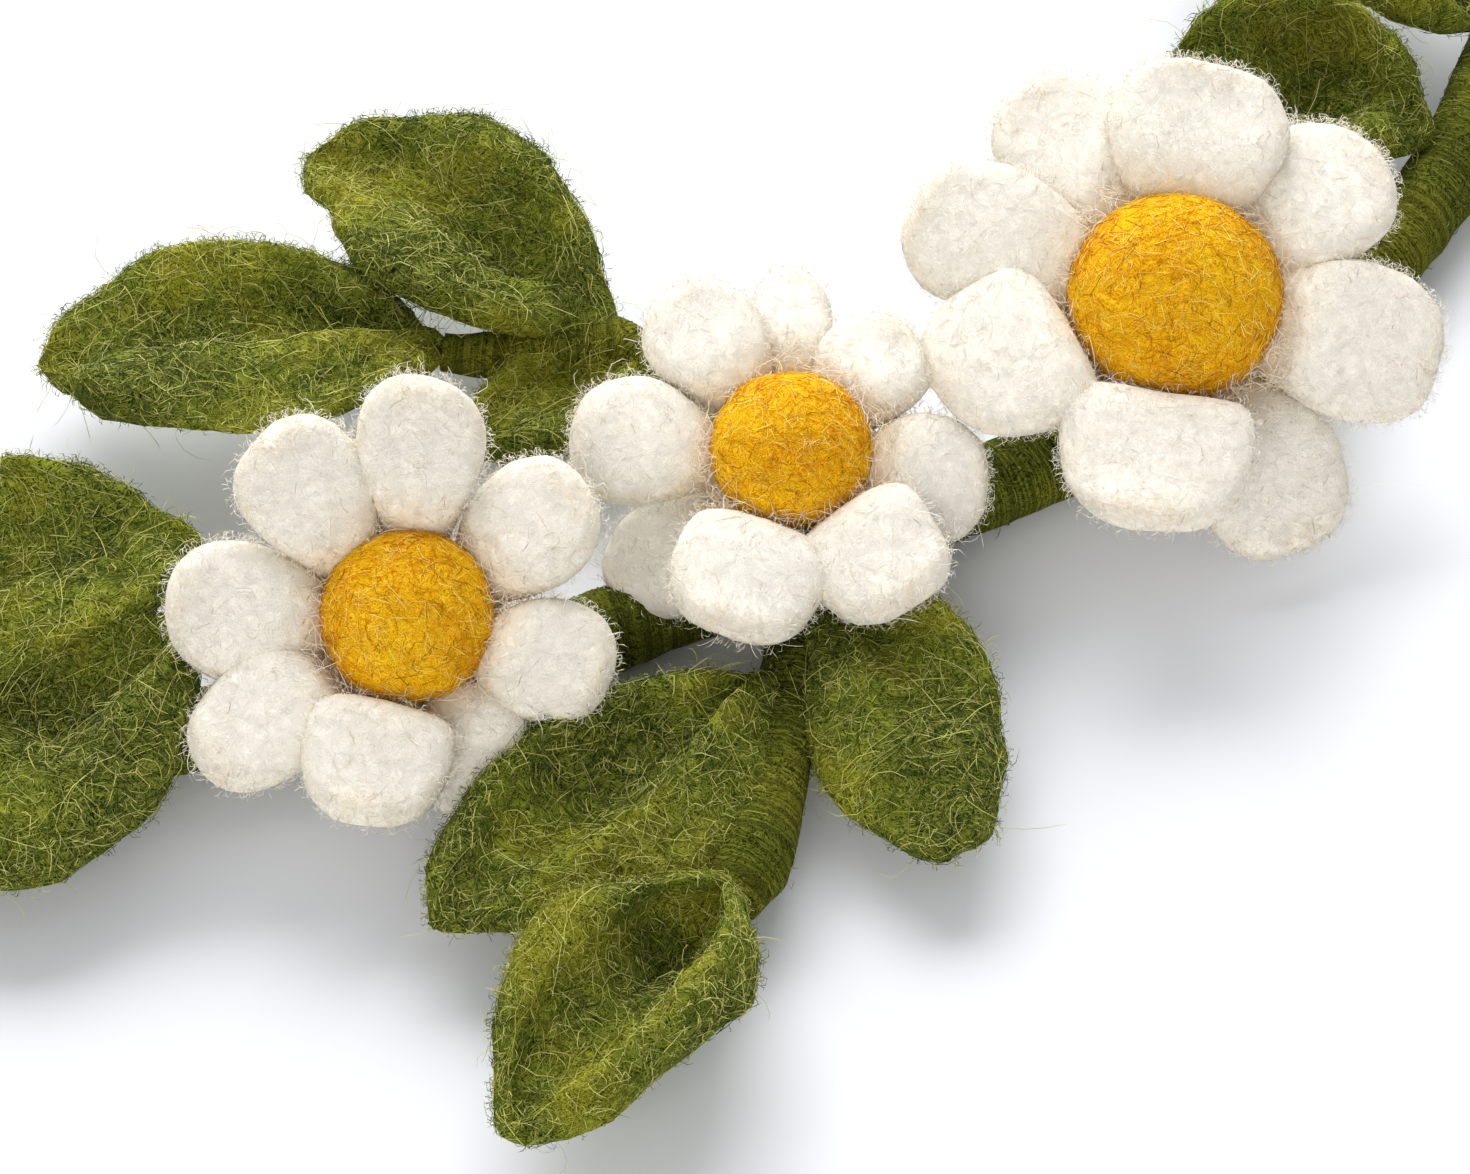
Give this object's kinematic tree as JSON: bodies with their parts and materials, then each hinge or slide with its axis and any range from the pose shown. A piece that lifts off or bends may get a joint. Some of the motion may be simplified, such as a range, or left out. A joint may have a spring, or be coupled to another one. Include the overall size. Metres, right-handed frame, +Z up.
{
  "type": "felt flower wreath",
  "caption": "Ring of wool-wound wire with white felt daisies, yellow felt centres and green felt leaves, for a table or a wall.",
  "frame": {"origin": "middle of the wreath's outline, on the surface that its underside lies on", "axes": "+Z up out of the wreath's face; -Y towards the viewer; the ring's angles are counted from -Y towards +X"},
  "size_m": [0.3592, 0.3672, 0.0315],
  "materials": {
    "white_felt": "matt felted wool with loose fibres",
    "yellow_felt": "matt felted wool ball with loose fibres",
    "leaf_felt": "matt mottled felt with loose fibres",
    "vine_wool": "matt wool wound round wire"
  },
  "bodies": {
    "root": {"vine": "vine_wool", "daisy_a1_petals": "white_felt", "daisy_a1_centre": "yellow_felt", "daisy_a2_petals": "white_felt", "daisy_a2_centre": "yellow_felt", "daisy_a3_petals": "white_felt", "daisy_a3_centre": "yellow_felt", "daisy_b1_petals": "white_felt", "daisy_b1_centre": "yellow_felt", "daisy_b2_petals": "white_felt", "daisy_b2_centre": "yellow_felt", "daisy_b3_petals": "white_felt", "daisy_b3_centre": "yellow_felt", "daisy_c1_petals": "white_felt", "daisy_c1_centre": "yellow_felt", "daisy_c2_petals": "white_felt", "daisy_c2_centre": "yellow_felt", "daisy_c3_petals": "white_felt", "daisy_c3_centre": "yellow_felt", "leaf_inner_tip_1": "leaf_felt", "leaf_inner_tip_2": "leaf_felt", "leaf_inner_tip_3": "leaf_felt", "leaf_inner_back_1": "leaf_felt", "leaf_inner_back_2": "leaf_felt", "leaf_inner_back_3": "leaf_felt", "leaf_inner_small_1": "leaf_felt", "leaf_inner_small_2": "leaf_felt", "leaf_inner_small_3": "leaf_felt", "leaf_outer_wide_1": "leaf_felt", "leaf_outer_wide_2": "leaf_felt", "leaf_outer_wide_3": "leaf_felt", "leaf_outer_side_1": "leaf_felt", "leaf_outer_side_2": "leaf_felt", "leaf_outer_side_3": "leaf_felt", "leaf_outer_tip_1": "leaf_felt", "leaf_outer_tip_2": "leaf_felt", "leaf_outer_tip_3": "leaf_felt", "leaf_fork_in_1": "leaf_felt", "leaf_fork_in_2": "leaf_felt", "leaf_fork_in_3": "leaf_felt", "leaf_fork_on_1": "leaf_felt", "leaf_fork_on_2": "leaf_felt", "leaf_fork_on_3": "leaf_felt", "leaf_fork_out_1": "leaf_felt", "leaf_fork_out_2": "leaf_felt", "leaf_fork_out_3": "leaf_felt", "leaf_middle_in_1": "leaf_felt", "leaf_middle_in_2": "leaf_felt", "leaf_middle_in_3": "leaf_felt", "leaf_middle_out_1": "leaf_felt", "leaf_middle_out_2": "leaf_felt", "leaf_middle_out_3": "leaf_felt", "leaf_end_in_1": "leaf_felt", "leaf_end_in_2": "leaf_felt", "leaf_end_in_3": "leaf_felt", "leaf_end_out_1": "leaf_felt", "leaf_end_out_2": "leaf_felt", "leaf_end_out_3": "leaf_felt"}
  },
  "joints": []
}
